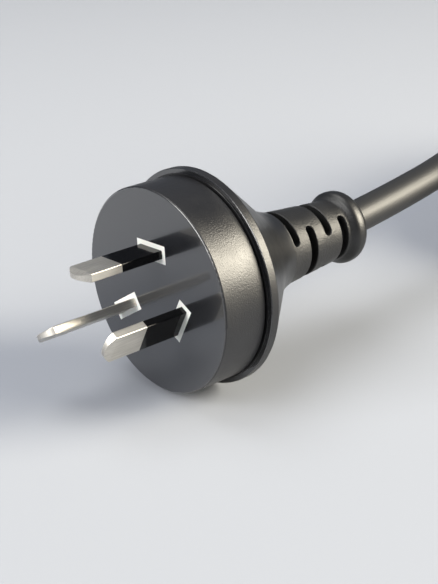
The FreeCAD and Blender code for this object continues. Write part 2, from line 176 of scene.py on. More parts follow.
@dataclass(frozen=True)
class MouldedPvc(Finish):
    """Black PVC, injection moulded in one tool whose steel differs along the plug.

    The polished mating face mirrors the pins softly, and the thin front edge of the flange draws a bright
    line. The spark-eroded disc and flange break the light into a sparkling grain, and the flare behind
    them is satin. The blasted strain relief is duller, and the bead at its end smoother again.
    """

    name: str = "black_pvc_moulded"
    # In order: mating face, disc, the flange's front edge, flange, flare, strain relief and bead. The
    # grain is drawn coarser than the real 0.1 mm so that it shows.
    areas: tuple[MouldSurface, ...] = (
        # The mating face's colour is lighter than the rest of the same PVC: painted reflection that
        # brightens it.
        MouldSurface(-1.0, 1.0, "#17181B", 0.24, 0.0, polish=1.0),
        MouldSurface(0.0, 0.16, "#0F0F11", 0.38, 0.044),
        MouldSurface(9.71, 0.03, "#0F0F11", 0.2, 0.0, polish=1.0),
        MouldSurface(9.84, 0.06, "#0F0F11", 0.38, 0.044),
        # From the flare back the same PVC is painted darker: painted shade on the flare, strain relief and
        # bead.
        MouldSurface(11.4, 0.5, "#0C0D0F", 0.36, 0.008),
        MouldSurface(28.7, 0.4, "#0C0C0C", 0.46, 0.075, grain_mm=0.33),
        MouldSurface(46.3, 0.5, "#080808", 0.38, 0.03, grain_mm=0.33),
    )
    flow_mm: float = 5.0
    flow_share: float = 0.12
    specular: float = 0.63
    coat_roughness: float = 0.09
    coat_ior: float = 1.75

    def surface(self, tree: bpy.types.NodeTree) -> bpy.types.NodeSocket:
        """Builds the shader, with colour, roughness and grain chosen by the distance along the plug.

        Args:
            tree: the material's node tree.

        Returns:
            The shader's output.
        """
        place = add_node(tree, "ShaderNodeTexCoord").outputs["Object"]
        along = add_node(tree, "ShaderNodeSeparateXYZ", {0: place}).outputs["X"]
        colour, numbers = linear(self.areas[0].colour), self.areas[0].numbers()
        for area in self.areas[1:]:
            reached = add_node(tree, "ShaderNodeMapRange", {
                "Value": along, "From Min": area.start_mm * MM,
                "From Max": (area.start_mm + area.blend_mm) * MM,
            }).outputs[0]
            colour = add_node(tree, "ShaderNodeMix", {
                0: reached, 6: colour, 7: linear(area.colour),
            }, data_type="RGBA").outputs[2]
            numbers = [
                add_node(tree, "ShaderNodeMix", {0: reached, 2: before, 3: here}).outputs[0]
                for before, here in zip(numbers, area.numbers())
            ]
        roughness, depth, scale, polish = numbers
        flow = add_node(tree, "ShaderNodeTexNoise", {
            "Vector": place, "Scale": per_metre(self.flow_mm), "Detail": 3.0,
        }).outputs["Fac"]
        uneven = add_node(tree, "ShaderNodeMapRange", {
            "Value": flow, "From Min": NOISE_LOW, "From Max": NOISE_HIGH,
            "To Min": 1 - self.flow_share, "To Max": 1 + self.flow_share,
        }).outputs[0]
        roughness = add_node(
            tree, "ShaderNodeMath", {0: roughness, 1: uneven}, operation="MULTIPLY").outputs[0]
        grain = add_node(tree, "ShaderNodeTexNoise", {
            "Vector": place, "Scale": scale, "Detail": 1.0,
        }).outputs["Fac"]
        height = add_node(tree, "ShaderNodeMath", {0: grain, 1: depth}, operation="MULTIPLY").outputs[0]
        bump = add_node(tree, "ShaderNodeBump", {"Height": height, "Distance": MM}).outputs[0]
        return add_node(tree, "ShaderNodeBsdfPrincipled", {
            "Base Color": colour, "Roughness": roughness, "Normal": bump, "IOR": PVC_IOR,
            "Specular IOR Level": self.specular, "Coat Weight": polish,
            "Coat Roughness": self.coat_roughness, "Coat IOR": self.coat_ior,
        }).outputs[0]


@dataclass(frozen=True)
class DrawnMetal(Finish):
    """Plated or bare metal drawn along the plug.

    Drawing leaves lengthwise lines that pull the reflections out along the pin, and plating keeps them
    bright, with a slightly uneven tone. The lines are drawn coarser than the real 0.05 mm so that they
    show.
    """

    roughness: float
    colour: str = "#DAD6CE"
    worn: str = "#C2BEB5"
    line_mm: float = 0.3
    line_length_mm: float = 9.0
    line_depth_mm: float = 0.008
    line_span: tuple[float, float] = (0.25, 0.75)
    line_share: float = 0.6
    uneven: float = 0.3
    patch_mm: float = 3.0

    def surface(self, tree: bpy.types.NodeTree) -> bpy.types.NodeSocket:
        """Builds the shader, with lines that run along the plug.

        Args:
            tree: the material's node tree.

        Returns:
            The shader's output.
        """
        place = add_node(tree, "ShaderNodeTexCoord").outputs["Object"]
        across = per_metre(self.line_mm)
        drawn = add_node(tree, "ShaderNodeMapping", {
            "Vector": place, "Scale": (per_metre(self.line_length_mm), across, across),
        }).outputs[0]
        lines = add_node(tree, "ShaderNodeTexNoise", {
            "Vector": drawn, "Scale": 1.0, "Detail": 2.0,
        }).outputs["Fac"]
        patch = add_node(tree, "ShaderNodeTexNoise", {
            "Vector": place, "Scale": per_metre(self.patch_mm), "Detail": 4.0,
        }).outputs["Fac"]
        roughness = add_node(tree, "ShaderNodeMapRange", {
            "Value": lines, "From Min": self.line_span[0], "From Max": self.line_span[1],
            "To Min": (1 - self.uneven) * self.roughness, "To Max": (1 + self.uneven) * self.roughness,
        }).outputs[0]
        bump = add_node(tree, "ShaderNodeBump", {"Height": lines, "Distance": self.line_depth_mm * MM})
        mixed = add_node(tree, "ShaderNodeMix", {0: self.line_share, 2: patch, 3: lines}).outputs[0]
        tone = add_node(tree, "ShaderNodeMapRange", {
            "Value": mixed, "From Min": NOISE_LOW, "From Max": NOISE_HIGH,
        }).outputs[0]
        colour = add_node(tree, "ShaderNodeMix", {
            0: tone, 6: linear(self.colour), 7: linear(self.worn),
        }, data_type="RGBA").outputs[2]
        return add_node(tree, "ShaderNodeBsdfPrincipled", {
            "Base Color": colour, "Metallic": 1.0, "Roughness": roughness, "Normal": bump.outputs[0],
        }).outputs[0]


@dataclass(frozen=True)
class MouldedPlastic(Finish):
    """Smooth moulded plastic: an even body colour under a skin with a faint orange-peel ripple."""

    colour: str
    tinge: str
    roughness: float = 0.34
    ripple_mm: float = 0.7
    ripple_depth_mm: float = 0.004
    uneven: float = 0.15
    subsurface: float = 0.0
    subsurface_mm: float = 0.5
    specular: float = 0.5

    def surface(self, tree: bpy.types.NodeTree) -> bpy.types.NodeSocket:
        """Builds the shader.

        Args:
            tree: the material's node tree.

        Returns:
            The shader's output.
        """
        place = add_node(tree, "ShaderNodeTexCoord").outputs["Object"]
        ripple = add_node(tree, "ShaderNodeTexNoise", {
            "Vector": place, "Scale": per_metre(self.ripple_mm), "Detail": 3.0,
        }).outputs["Fac"]
        bump = add_node(tree, "ShaderNodeBump", {"Height": ripple, "Distance": self.ripple_depth_mm * MM})
        roughness = add_node(tree, "ShaderNodeMapRange", {
            "Value": ripple, "From Min": NOISE_LOW, "From Max": NOISE_HIGH,
            "To Min": (1 - self.uneven) * self.roughness, "To Max": (1 + self.uneven) * self.roughness,
        }).outputs[0]
        colour = add_node(tree, "ShaderNodeMix", {
            0: ripple, 6: linear(self.colour), 7: linear(self.tinge),
        }, data_type="RGBA").outputs[2]
        return add_node(tree, "ShaderNodeBsdfPrincipled", {
            "Base Color": colour, "Roughness": roughness, "Normal": bump.outputs[0],
            "Specular IOR Level": self.specular, "Subsurface Weight": self.subsurface,
            "Subsurface Scale": self.subsurface_mm * MM,
        }).outputs[0]


@dataclass(frozen=True)
class ExtrudedPvc(Finish):
    """PVC drawn through a die over its conductors: satin, with faint lines along it and a fine grain.

    The lines come from the die and the grain from the cooling skin. The grain is drawn coarser than the
    real 0.1 mm so that it shows.
    """

    colour: str
    tinge: str
    stripe: Optional[str] = None
    roughness: float = 0.34
    lines_round: float = 90.0
    line_length_mm: float = 60.0
    line_depth_mm: float = 0.003
    grain_mm: float = 0.3
    grain_depth_mm: float = 0.035
    uneven: float = 0.04
    specular: float = 0.72
    stripes: int = 2
    stripe_share: float = 0.34
    stripe_blur: float = 0.005
    stripe_lay_mm: float = 45.0

    def surface(self, tree: bpy.types.NodeTree) -> bpy.types.NodeSocket:
        """Builds the shader on the tube's own UV map, the turn round it and the metres along it.

        Args:
            tree: the material's node tree.

        Returns:
            The shader's output.
        """
        coordinates = add_node(tree, "ShaderNodeTexCoord").outputs
        turn_and_run = add_node(tree, "ShaderNodeSeparateXYZ", {0: coordinates["UV"]}).outputs
        angle = add_node(
            tree, "ShaderNodeMath", {0: turn_and_run["X"], 1: math.tau}, operation="MULTIPLY").outputs[0]
        east = add_node(tree, "ShaderNodeMath", {0: angle}, operation="COSINE").outputs[0]
        north = add_node(tree, "ShaderNodeMath", {0: angle}, operation="SINE").outputs[0]
        rolled = add_node(tree, "ShaderNodeCombineXYZ", {
            0: east, 1: north, 2: turn_and_run["Y"],
        }).outputs[0]
        across = self.lines_round / math.tau
        lined = add_node(tree, "ShaderNodeMapping", {
            "Vector": rolled, "Scale": (across, across, per_metre(self.line_length_mm)),
        }).outputs[0]
        lines = add_node(tree, "ShaderNodeTexNoise", {
            "Vector": lined, "Scale": 1.0, "Detail": 2.0,
        }).outputs["Fac"]
        grain = add_node(tree, "ShaderNodeTexNoise", {
            "Vector": coordinates["Object"], "Scale": per_metre(self.grain_mm), "Detail": 2.0,
        }).outputs["Fac"]
        grained = add_node(tree, "ShaderNodeBump", {"Height": grain, "Distance": self.grain_depth_mm * MM})
        bump = add_node(tree, "ShaderNodeBump", {
            "Height": lines, "Distance": self.line_depth_mm * MM, "Normal": grained.outputs[0],
        })
        roughness = add_node(tree, "ShaderNodeMapRange", {
            "Value": lines, "From Min": NOISE_LOW, "From Max": NOISE_HIGH,
            "To Min": (1 - self.uneven) * self.roughness, "To Max": (1 + self.uneven) * self.roughness,
        }).outputs[0]
        colour = add_node(tree, "ShaderNodeMix", {
            0: lines, 6: linear(self.colour), 7: linear(self.tinge),
        }, data_type="RGBA").outputs[2]
        if self.stripe:
            twist = add_node(tree, "ShaderNodeMath", {
                0: turn_and_run["Y"], 1: per_metre(self.stripe_lay_mm), 2: turn_and_run["X"],
            }, operation="MULTIPLY_ADD").outputs[0]
            half = self.stripe_share / self.stripes / 2
            aside = add_node(
                tree, "ShaderNodeMath", {0: twist, 1: 0.5 / self.stripes}, operation="PINGPONG").outputs[0]
            on_stripe = add_node(tree, "ShaderNodeMapRange", {
                "Value": aside, "From Min": half + self.stripe_blur, "From Max": half - self.stripe_blur,
            }).outputs[0]
            colour = add_node(tree, "ShaderNodeMix", {
                0: on_stripe, 6: colour, 7: linear(self.stripe),
            }, data_type="RGBA").outputs[2]
        return add_node(tree, "ShaderNodeBsdfPrincipled", {
            "Base Color": colour, "Roughness": roughness, "Normal": bump.outputs[0], "IOR": PVC_IOR,
            "Specular IOR Level": self.specular,
        }).outputs[0]


@dataclass(frozen=True)
class WovenStrap(Finish):
    """Polyester webbing: ribs of warp over weft that catch the light in rows, dull and a little hairy.

    The threads are drawn coarser than the real 0.4 mm so that they show.
    """

    name: str = "woven_polyester_webbing"
    colour: str = "#1E1E21"
    painted_valley_shade: str = "#0A0A0B"
    thread_mm: float = 0.8
    thread_depth_mm: float = 0.16
    roughness: float = 0.82
    sheen: float = 0.08
    sheen_roughness: float = 0.5

    def surface(self, tree: bpy.types.NodeTree) -> bpy.types.NodeSocket:
        """Builds the shader on the strap's own UV map, in metres along and across it.

        Args:
            tree: the material's node tree.

        Returns:
            The shader's output.
        """
        place = add_node(tree, "ShaderNodeTexCoord").outputs["UV"]
        flat = add_node(tree, "ShaderNodeSeparateXYZ", {0: place}).outputs
        waves = []
        for axis in ("X", "Y"):
            phase = add_node(tree, "ShaderNodeMath", {
                0: flat[axis], 1: math.tau * per_metre(self.thread_mm),
            }, operation="MULTIPLY").outputs[0]
            waves.append(add_node(tree, "ShaderNodeMath", {0: phase}, operation="SINE").outputs[0])
        weave = add_node(
            tree, "ShaderNodeMath", {0: waves[0], 1: waves[1]}, operation="MULTIPLY").outputs[0]
        height = add_node(tree, "ShaderNodeMapRange", {"Value": weave, "From Min": -1.0}).outputs[0]
        bump = add_node(tree, "ShaderNodeBump", {"Height": height, "Distance": self.thread_depth_mm * MM})
        # The valleys between the threads are painted darker than the ridges: painted shade.
        colour = add_node(tree, "ShaderNodeMix", {
            0: height, 6: linear(self.painted_valley_shade), 7: linear(self.colour),
        }, data_type="RGBA").outputs[2]
        return add_node(tree, "ShaderNodeBsdfPrincipled", {
            "Base Color": colour, "Roughness": self.roughness, "Normal": bump.outputs[0],
            "Sheen Weight": self.sheen, "Sheen Roughness": self.sheen_roughness,
        }).outputs[0]


@dataclass(frozen=True)
class SewingThread(Finish):
    """Twisted polyester thread: paler than the webbing and a little silky, with a ply that winds round it.

    The ply is drawn coarser than the real 0.15 mm so that it shows.
    """

    name: str = "polyester_thread_twisted"
    colour: str = "#4C4C51"
    painted_valley_shade: str = "#26262A"
    ply_mm: float = 0.3
    roughness: float = 0.6
    sheen: float = 0.2

    def surface(self, tree: bpy.types.NodeTree) -> bpy.types.NodeSocket:
        """Builds the shader.

        Args:
            tree: the material's node tree.

        Returns:
            The shader's output.
        """
        place = add_node(tree, "ShaderNodeTexCoord").outputs["Object"]
        ply = add_node(tree, "ShaderNodeTexWave", {
            "Vector": place, "Scale": per_metre(self.ply_mm) * WAVE_REPEAT,
        }, bands_direction="DIAGONAL").outputs["Fac"]
        # The grooves between the plies are painted darker: painted shade.
        colour = add_node(tree, "ShaderNodeMix", {
            0: ply, 6: linear(self.painted_valley_shade), 7: linear(self.colour),
        }, data_type="RGBA").outputs[2]
        return add_node(tree, "ShaderNodeBsdfPrincipled", {
            "Base Color": colour, "Roughness": self.roughness, "Sheen Weight": self.sheen,
        }).outputs[0]


@dataclass(frozen=True)
class StudioPaper(Finish):
    """Pale studio paper: matt, with a faint tooth."""

    name: str = "pale_studio_paper"
    colour: str = "#A0A4AC"
    tooth_mm: float = 1.2
    smoothest: float = 0.85
    roughest: float = 0.95
    specular: float = 0.2

    def surface(self, tree: bpy.types.NodeTree) -> bpy.types.NodeSocket:
        """Builds the shader.

        Args:
            tree: the material's node tree.

        Returns:
            The shader's output.
        """
        place = add_node(tree, "ShaderNodeTexCoord").outputs["Object"]
        tooth = add_node(tree, "ShaderNodeTexNoise", {
            "Vector": place, "Scale": per_metre(self.tooth_mm), "Detail": 2.0,
        }).outputs["Fac"]
        roughness = add_node(tree, "ShaderNodeMapRange", {
            "Value": tooth, "To Min": self.smoothest, "To Max": self.roughest,
        }).outputs[0]
        return add_node(tree, "ShaderNodeBsdfPrincipled", {
            "Base Color": linear(self.colour), "Roughness": roughness,
            "Specular IOR Level": self.specular,
        }).outputs[0]


PVC = MouldedPvc()
NICKEL = DrawnMetal("nickel_plate_on_drawn_brass", roughness=0.43)
COPPER = DrawnMetal("bare_drawn_copper", roughness=0.3, colour="#D08A66", worn="#B4714F")
TIN = DrawnMetal("tinned_copper", roughness=0.32, colour="#D5D4D0", worn="#B9B8B4")
NYLON = MouldedPlastic("white_nylon_moulded", colour="#EDEDE8", tinge="#E4E4DD", subsurface=0.1)
SLEEVE = MouldedPlastic(
    "black_sleeve_moulded", colour="#050506", tinge="#08080A", roughness=0.12, specular=0.24)
SHEATH = ExtrudedPvc("black_pvc_sheath_extruded", colour="#0F0F10", tinge="#131313", roughness=0.5)
INSULATION = {
    Conductor.NEUTRAL: ExtrudedPvc("light_blue_pvc_extruded", colour="#3E8FCB", tinge="#3683BD"),
    Conductor.EARTH: ExtrudedPvc(
        "green_and_yellow_pvc_extruded", colour="#2E7D3A", tinge="#2A7435", stripe="#E6C62B"),
    Conductor.ACTIVE: ExtrudedPvc("brown_pvc_extruded", colour="#6B3F27", tinge="#623821"),
}
WEBBING = WovenStrap()
THREAD = SewingThread()
PAPER = StudioPaper()


def dress(node: str, finish: Finish) -> None:
    """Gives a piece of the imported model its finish.

    Args:
        node: the piece's name.
        finish: what it is made of.
    """
    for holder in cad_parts[node].material_slots:
        holder.material = finish.material()
    log.info("%s: %s", node, finish.name)


def add_piece(name: str, mesh: bpy.types.Mesh, finish: Finish) -> bpy.types.Object:
    """Adds a finished mesh to the object.

    Args:
        name: the piece's name.
        mesh: its mesh, in place.
        finish: what it is made of.

    Returns:
        The piece.
    """
    piece = bpy.data.objects.new(name, mesh)
    bpy.context.scene.collection.objects.link(piece)
    if not mesh.materials:
        mesh.materials.append(finish.material())
    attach(piece, BODY)
    log.info("%s: %d faces, %s", name, len(mesh.polygons), finish.name)
    return piece


def eased(share: float) -> float:
    """A share from 0 to 1 that starts and ends gently."""
    return share * share * (3 - 2 * share)


def directions(path: Sequence[Vector]) -> list[Vector]:
    """The way that a line of points runs at each of them.

    Args:
        path: the points.

    Returns:
        A unit vector for each point.
    """
    steps = [(after - before).normalized() for before, after in zip(path, path[1:])]
    return [steps[0]] + [(a + b).normalized() for a, b in zip(steps, steps[1:])] + [steps[-1]]


def smooth_line(route: Sequence[Vector], steps: int) -> list[Vector]:
    """Reads the smooth line that a route's points control.

    Args:
        route: the control points of a NURBS spline.
        steps: points on the line for each of them.

    Returns:
        Points along the line.
    """
    curve = bpy.data.curves.new("route", "CURVE")
    curve.dimensions = "3D"
    curve.resolution_u = steps
    spline = curve.splines.new("NURBS")
    spline.points.add(len(route) - 1)
    for point, place in zip(spline.points, route):
        point.co = (*place, 1.0)
    spline.order_u = 3
    spline.use_endpoint_u = True
    holder = bpy.data.objects.new("route", curve)
    line = bpy.data.meshes.new_from_object(holder)
    points = [vertex.co.copy() for vertex in line.vertices]
    bpy.data.objects.remove(holder)
    bpy.data.curves.remove(curve)
    bpy.data.meshes.remove(line)
    return points


def tube(name: str, path: Sequence[Vector], radius: float, sides: int, edge: float) -> bpy.types.Mesh:
    """Makes a closed round tube, with a UV map of the turn round it and the metres along it.

    Args:
        name: the mesh's name.
        path: the centres of its rings.
        radius: from the path to the surface.
        sides: faces round the tube.
        edge: the round at its cut ends.

    Returns:
        The mesh.
    """
    ways = directions(path)
    stations = [(centre, way, radius) for centre, way in zip(path, ways)][1:-1]
    for quarter in (0.0, math.pi / 4, math.pi / 2):
        inset = edge * (1 - math.sin(quarter))
        narrow = radius - edge * (1 - math.cos(quarter))
        stations.insert(0, (path[0] + ways[0] * inset, ways[0], narrow))
        stations.append((path[-1] - ways[-1] * inset, ways[-1], narrow))
    made = bmesh.new()
    chart = made.loops.layers.uv.new("turn_and_run")
    side = ways[0].orthogonal().normalized()
    turns = [math.tau * k / sides for k in range(sides)]
    rings, runs = [], []
    run = 0.0
    for number, (centre, way, width) in enumerate(stations):
        side = (side - way * side.dot(way)).normalized()
        other = way.cross(side)
        run += (centre - stations[number - 1][0]).length if number else 0.0
        around = [side * math.cos(turn) + other * math.sin(turn) for turn in turns]
        rings.append([made.verts.new(centre + out * width) for out in around])
        runs.append(run)
    for i in range(len(rings) - 1):
        for k in range(sides):
            after = (k + 1) % sides
            face = made.faces.new((rings[i][k], rings[i][after], rings[i + 1][after], rings[i + 1][k]))
            face.smooth = True
            corners = ((k, i), (k + 1, i), (k + 1, i + 1), (k, i + 1))
            for loop, (column, row) in zip(face.loops, corners):
                loop[chart].uv = (column / sides, runs[row])
    made.faces.new(reversed(rings[0]))
    made.faces.new(rings[-1])
    mesh = bpy.data.meshes.new(name)
    made.to_mesh(mesh)
    made.free()
    return mesh


def grown(
    name: str, tree: bpy.types.NodeTree, values: dict[str, Any], place: Matrix
) -> bpy.types.Mesh:
    """Makes a plain mesh with a Geometry Nodes tree.

    Args:
        name: the mesh's name.
        tree: the node tree.
        values: the tree's inputs by name.
        place: where the result goes.

    Returns:
        The mesh, in place.
    """
    seed = bpy.data.meshes.new("seed")
    holder = bpy.data.objects.new("seed", seed)
    bpy.context.scene.collection.objects.link(holder)
    modifier = holder.modifiers.new("grown", "NODES")
    modifier.node_group = tree
    for item in tree.interface.items_tree:
        if item.in_out == "INPUT":
            modifier[item.identifier] = values[item.name]
    graph = bpy.context.evaluated_depsgraph_get()
    mesh = bpy.data.meshes.new_from_object(holder.evaluated_get(graph), depsgraph=graph)
    bpy.data.objects.remove(holder)
    bpy.data.meshes.remove(seed)
    mesh.name = name
    mesh.transform(place)
    mesh.shade_smooth()
    return mesh


@dataclass
class Plug:
    """The rigid plug: one moulding round a carrier, three pins and the ends of the cord's cores."""

    moulding: str = "plug_body"
    carrier: str = "pin_carrier"
    sleeved: tuple[Conductor, ...] = (Conductor.NEUTRAL, Conductor.ACTIVE)

    def dress(self) -> None:
        """Gives every piece its finish."""
        dress(self.moulding, PVC)
        dress(self.carrier, NYLON)
        for conductor in Conductor:
            dress(f"{conductor.value}_pin", NICKEL)
            dress(f"{conductor.value}_strands", COPPER)
            dress(f"{conductor.value}_core", INSULATION[conductor])
        for conductor in self.sleeved:
            dress(f"{conductor.value}_pin_sleeve", SLEEVE)


@dataclass
class StrandBundle:
    """Tinned strands twisted together, made by Geometry Nodes along +Z from the origin."""

    length: float = 0.006
    strand_radius: float = 0.00012
    turns: float = 0.55
    layers: tuple[tuple[int, float], ...] = ((15, 0.00056), (9, 0.00033), (3, 0.00014))
    sides: int = 8
    steps_per_turn: int = 30
    tree_name: ClassVar[str] = "twisted_strands"

    def tree(self) -> bpy.types.NodeTree:
        """Builds the node tree that twists the strands, one layer of helices inside another.

        Returns:
            The tree, with named inputs for its sizes.
        """
        tree = bpy.data.node_groups.new(self.tree_name, "GeometryNodeTree")
        tree.interface.new_socket("Strands", in_out="OUTPUT", socket_type="NodeSocketGeometry")
        for name in ("Length", "Strand Radius", "Turns"):
            tree.interface.new_socket(name, in_out="INPUT", socket_type="NodeSocketFloat")
        tree.interface.new_socket("Finish", in_out="INPUT", socket_type="NodeSocketMaterial")
        sizes = add_node(tree, "NodeGroupInput").outputs
        section = add_node(tree, "GeometryNodeCurvePrimitiveCircle", {
            "Resolution": self.sides, "Radius": sizes["Strand Radius"],
        }).outputs["Curve"]
        order = add_node(tree, "GeometryNodeInputIndex").outputs[0]
        together = add_node(tree, "GeometryNodeJoinGeometry")
        for count, radius in self.layers:
            helix = add_node(tree, "GeometryNodeCurveSpiral", {
                "Resolution": self.steps_per_turn, "Rotations": sizes["Turns"], "Start Radius": radius,
                "End Radius": radius, "Height": sizes["Length"],
            }).outputs[0]
            spots = add_node(
                tree, "GeometryNodeMeshLine", {"Count": count, "Offset": (0.0, 0.0, 0.0)}).outputs[0]
            angle = add_node(
                tree, "ShaderNodeMath", {0: order, 1: math.tau / count}, operation="MULTIPLY").outputs[0]
            spin = add_node(tree, "ShaderNodeCombineXYZ", {"Z": angle}).outputs[0]
            placed = add_node(tree, "GeometryNodeInstanceOnPoints", {
                "Points": spots, "Instance": helix, "Rotation": spin,
            }).outputs[0]
            tree.links.new(placed, together.inputs[0])
        real = add_node(tree, "GeometryNodeRealizeInstances", {0: together.outputs[0]}).outputs[0]
        solid = add_node(tree, "GeometryNodeCurveToMesh", {
            "Curve": real, "Profile Curve": section, "Fill Caps": True,
        }).outputs[0]
        finished = add_node(tree, "GeometryNodeSetMaterial", {
            "Geometry": solid, "Material": sizes["Finish"],
        }).outputs[0]
        add_node(tree, "NodeGroupOutput", {0: finished})
        return tree

    def mesh(self, name: str, place: Matrix) -> bpy.types.Mesh:
        """Makes one bundle.

        Args:
            name: the mesh's name.
            place: where its start and direction go.

        Returns:
            The mesh, in place.
        """
        tree = bpy.data.node_groups.get(self.tree_name) or self.tree()
        values = {
            "Length": self.length, "Strand Radius": self.strand_radius, "Turns": self.turns,
            "Finish": TIN.material(),
        }
        return grown(name, tree, values, place)


@dataclass
class FlexCord:
    """The three-core cord: straight out of the strain relief, then a tied hank, then a stripped end."""

    diameter: float = 0.007
    length: float = 1.5
    exit: tuple[float, float, float] = (0.0506, 0.0, 0.0)
    lead: tuple[tuple[float, float, float], ...] = (
        (0.029, 0.0, 0.0), (0.047, 0.0, 0.0), (0.057, 0.0001, 0.0009), (0.07, 0.0006, 0.0023),
        (0.084, 0.002, 0.0036), (0.113, 0.0105, 0.0041), (0.126, 0.0149, 0.0042), (0.134, 0.017, 0.0043),
    )
    tail: tuple[tuple[float, float], ...] = (
        (0.1813, -0.0315), (0.1756, -0.0315), (0.1691, -0.0308), (0.1619, -0.0288),
        (0.1542, -0.0252), (0.1464, -0.0207),
    )
    hank_start: float = 0.1385
    hank_run: float = 0.04
    hank_middle: float = -0.0105
    inner_fold: float = 0.021
    top_layer: float = 0.0043
    hank_end: float = 21.9
    fold_points: int = 12
    run_points: int = 7
    # A step down takes this share of a shift, so that the cord clears the turn beside it.
    descent_share: float = 0.78
    line_steps: int = 6
    sides: int = 28
    cut_edge: float = 0.0003
    core_radius: float = 0.0013
    core_lay: float = 0.00155
    core_steps: int = 10
    core_sides: int = 20
    core_edge: float = 0.00012
    # Each stripped core's points, ahead of the cut sheath and aside.
    fans: dict[Conductor, tuple[tuple[float, float], ...]] = field(default_factory=lambda: {
        Conductor.NEUTRAL: ((0.0, 0.0), (0.006, 0.0), (0.0155, -0.0009)),
        Conductor.EARTH: ((0.0, 0.0), (0.005, 0.0), (0.0145, 0.003)),
        Conductor.ACTIVE: ((0.0, 0.0), (0.005, 0.0), (0.014, -0.0032)),
    })
    # The hank's places in winding order: turns out from the inner fold, and layers down from the top one.
    places: ClassVar[tuple[tuple[int, int], ...]] = (
        (1, 0), (1, 1), (0, 1), (0, 2), (1, 2), (1, 3), (0, 3),
    )
    # A turn has four sections. The cord shifts to a new place in one section and keeps it for two more.
    sections_per_turn: ClassVar[int] = 4
    sections_per_place: ClassVar[int] = 3

    @property
    def bottom_layer(self) -> float:
        """The height of the hank's lowest layer, where the tail lies."""
        return self.top_layer - self.places[-1][1] * self.diameter

    def hank_point(self, progress: float) -> Vector:
        """A control point of the hank.

        Args:
            progress: sections wound so far; a turn is a run, a fold, a run back and a fold.

        Returns:
            The point.
        """
        number, into = divmod(progress, self.sections_per_place)
        here = self.places[min(int(number), len(self.places) - 1)]
        before = self.places[max(int(number) - 1, 0)]
        shares = (min(into, 1.0), min(into / self.descent_share, 1.0))
        out, down = (a + (b - a) * eased(s) for a, b, s in zip(before, here, shares))
        section, part = divmod(progress, 1.0)
        swing = math.pi * part
        step = math.pi / self.fold_points
        fold = self.inner_fold + out * self.diameter
        # The smooth line runs inside the control points of a fold, so these stand further out.
        wide = fold / (0.75 + 0.25 * math.cos(step))
        height = self.top_layer - down * self.diameter
        kind = int(section) % self.sections_per_turn
        if kind == 0:
            spot = (self.hank_start + self.hank_run * part, fold)
        elif kind == 1:
            spot = (self.hank_start + self.hank_run + wide * math.sin(swing), wide * math.cos(swing))
        elif kind == 2:
            spot = (self.hank_start + self.hank_run * (1 - part), -fold)
        else:
            spot = (self.hank_start - wide * math.sin(swing), -wide * math.cos(swing))
        return Vector((spot[0], self.hank_middle + spot[1], height))

    def hank(self) -> list[Vector]:
        """The hank's control points.

        Returns:
            The points, from the lead to the tail.
        """
        points = []
        for section in range(math.ceil(self.hank_end)):
            count = self.fold_points if section % 2 else self.run_points
            steps = [section + (k + 0.5) / count for k in range(count)]
            points += [self.hank_point(step) for step in steps if step < self.hank_end]
        return points

    def route(self) -> list[Vector]:
        """The cord's control points, from inside the moulding to its cut end."""
        tail = [Vector((*point, self.bottom_layer)) for point in self.tail]
        return [Vector(point) for point in self.lead] + self.hank() + tail

    def build(self) -> None:
        """Builds the cord, its tie and its stripped end."""
        path = smooth_line(self.route(), self.line_steps)
        mesh = tube("flex_cord", path, self.diameter / 2, self.sides, self.cut_edge)
        cord = add_piece("flex_cord", mesh, SHEATH)
        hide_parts("cord_lead", "cord_hank", "cord_tail")
        others = HankStrap().build()
        for number, conductor in enumerate(Conductor):
            others += self.strip(conductor, math.tau * number / len(Conductor))

    def strip(self, conductor: Conductor, turn: float) -> list[bpy.types.Object]:
        """Builds one stripped core past the end of the sheath, and its tinned strands.

        Args:
            conductor: which core.
            turn: where it lies in the cord's section.

        Returns:
            The core and the strands.
        """
        before, end = (Vector((*point, self.bottom_layer)) for point in self.tail[-2:])
        ahead = (end - before).normalized()
        across = UP.cross(ahead)
        start = end + (across * math.sin(turn) + UP * math.cos(turn)) * self.core_lay
        points = [start + ahead * run + across * aside for run, aside in self.fans[conductor]]
        name = conductor.value
        line = smooth_line(points, self.core_steps)
        mesh = tube(f"{name}_core_tail", line, self.core_radius, self.core_sides, self.core_edge)
        core = add_piece(f"{name}_core_tail", mesh, INSULATION[conductor])
        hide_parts(f"{name}_core_end")
        way = (points[-1] - points[-2]).to_track_quat("Z", "Y").to_matrix().to_4x4()
        mesh = StrandBundle().mesh(f"{name}_strand_tail", Matrix.Translation(points[-1]) @ way)
        strands = add_piece(f"{name}_strand_tail", mesh, TIN)
        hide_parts(f"{name}_wire_end")
        return [core, strands]


